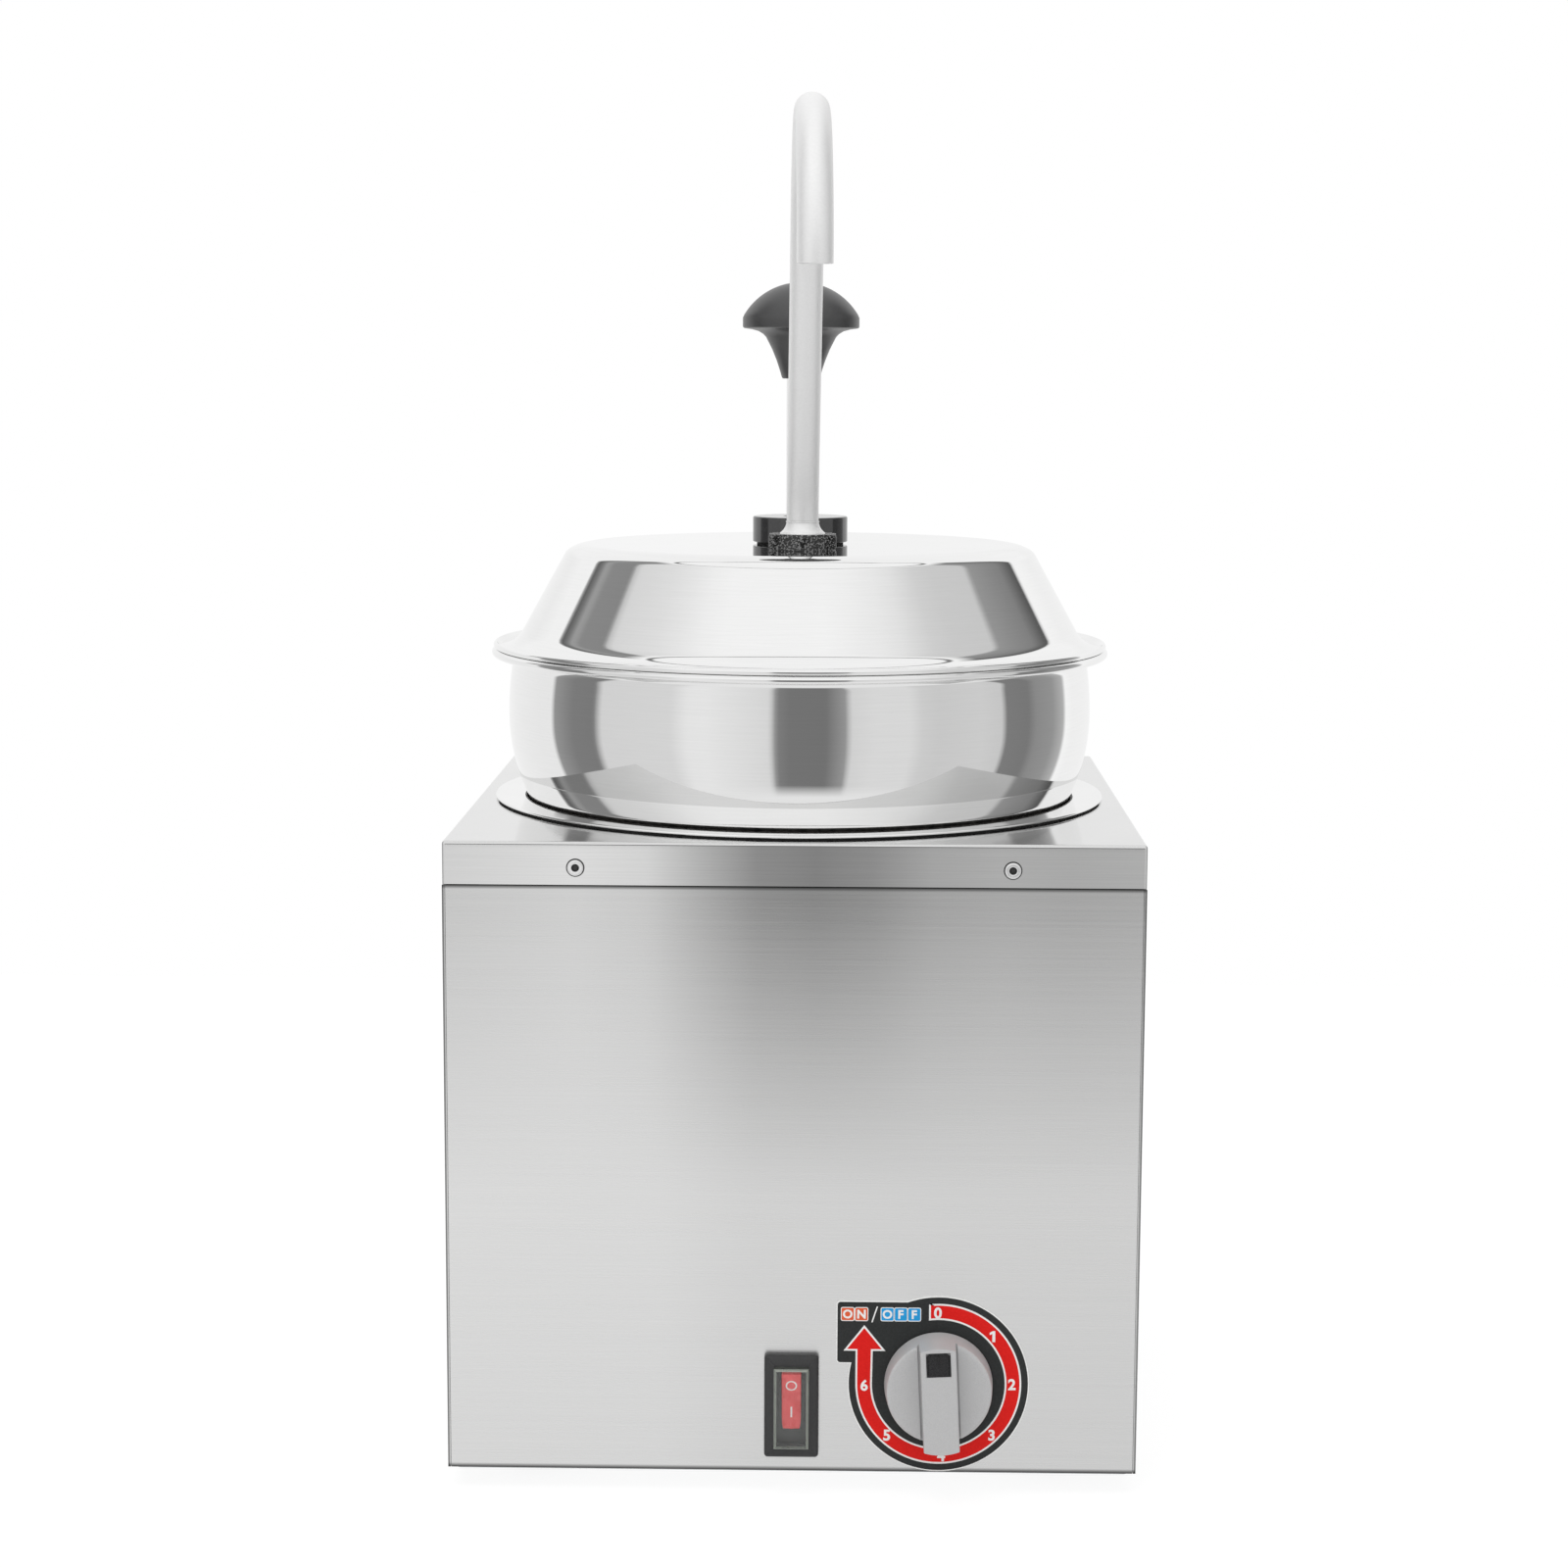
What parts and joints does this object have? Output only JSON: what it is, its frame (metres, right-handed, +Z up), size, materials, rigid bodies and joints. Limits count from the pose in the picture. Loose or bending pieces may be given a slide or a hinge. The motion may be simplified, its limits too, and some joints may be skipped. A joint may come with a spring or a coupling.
{
  "type": "hot topping warmer",
  "caption": "Square steel countertop warmer: bulged inset pot in a heated well, coned lid with plunger pump and goose-neck spout, thermostat dial and rocker switch in front.",
  "frame": {"origin": "middle of the cabinet's footprint, on the surface that the feet stand on", "axes": "+Z up, -Y out of the front panel with the dial and the switch, +X to the right seen from the front"},
  "size_m": [0.25, 0.3275, 0.4998],
  "materials": {
    "brushed_panel": "brushed",
    "polished_steel": "polished",
    "bright_steel": "bright",
    "zinc_steel": "zinc plated",
    "heater_sheath": "dark oxide",
    "mineral_wool": "matt",
    "copper": "drawn",
    "brass": "bright",
    "black_plastic": "satin",
    "white_plastic": "satin",
    "clear_plastic": "clear",
    "red_plastic": "gloss",
    "black_print": "satin",
    "silver_plastic": "satin",
    "rubber": "matt"
  },
  "bodies": {
    "cabinet": {"front_panel": "brushed_panel", "body_wrap": "brushed_panel", "base_plate": "zinc_steel", "base_screws": "zinc_steel", "feet": "rubber", "foot_screws": "zinc_steel", "top_cover": "polished_steel", "cover_rivets": "zinc_steel", "well": "polished_steel", "well_seal": "rubber", "well_clips": "zinc_steel", "insulation_jacket": "mineral_wool", "heating_element": "heater_sheath", "element_pan": "zinc_steel", "pan_nut": "zinc_steel", "limit_switch": "white_plastic", "sensing_bulb": "copper", "capillary": "copper", "thermostat_body": "white_plastic", "thermostat_screws": "zinc_steel", "terminal_block": "white_plastic", "terminal_screws": "brass", "cord_bushing": "black_plastic", "bushing_nut": "black_plastic", "dial_plate": "black_print", "switch_housing": "black_plastic", "switch_terminals": "brass", "switch_cap": "clear_plastic"},
    "rocker": {"switch_rocker": "red_plastic"},
    "dial": {"dial_knob": "silver_plastic", "dial_insert": "black_plastic", "thermostat_shaft": "zinc_steel"},
    "pot": {"pot": "bright_steel"},
    "lid": {"lid": "bright_steel", "collar_seal": "rubber", "pump_collar": "black_plastic", "stop_washer": "rubber", "pump_barrel": "polished_steel", "valve_body": "polished_steel", "discharge_riser": "polished_steel", "spout_nut": "black_plastic", "riser_seal": "rubber"},
    "spout": {"spout": "bright_steel"},
    "plunger": {"plunger_rod": "bright_steel", "plunger_knob": "black_plastic", "piston": "white_plastic", "piston_seal": "rubber", "return_spring": "bright_steel"},
    "inlet_ball": {"inlet_ball": "bright_steel"},
    "outlet_ball": {"outlet_ball": "bright_steel"}
  },
  "joints": [
    {"name": "thermostat_turn", "type": "hinge", "parent": "cabinet", "child": "dial", "pos_m": [0.0531, -0.126, 0.0412], "axis": [0, 1, 0], "range_deg": [0, 280]},
    {"name": "switch_rock", "type": "hinge", "parent": "cabinet", "child": "rocker", "pos_m": [0, -0.1249, 0.0351], "axis": [-1, 0, 0], "range_deg": [0, 18]},
    {"name": "pot_lift", "type": "slide", "parent": "cabinet", "child": "pot", "axis": [0, 0, 1], "range_m": [0, 0.2]},
    {"name": "lid_lift", "type": "slide", "parent": "pot", "child": "lid", "axis": [0, 0, 1], "range_m": [0, 0.22]},
    {"name": "spout_swivel", "type": "hinge", "parent": "lid", "child": "spout", "pos_m": [0.00147, -0.04197, 0.34], "axis": [0, 0, 1], "range_deg": [-90, 90]},
    {"name": "plunger_stroke", "type": "slide", "parent": "lid", "child": "plunger", "axis": [0, 0, -1], "range_m": [0, 0.048], "stiffness_N_per_m": 300, "springref_m": -0.025, "deforming": ["return_spring"]},
    {"name": "inlet_ball_lift", "type": "slide", "parent": "lid", "child": "inlet_ball", "axis": [0, 0, 1], "range_m": [0, 0.0028]},
    {"name": "outlet_ball_lift", "type": "slide", "parent": "lid", "child": "outlet_ball", "axis": [0, 0, 1], "range_m": [0, 0.0028]}
  ]
}
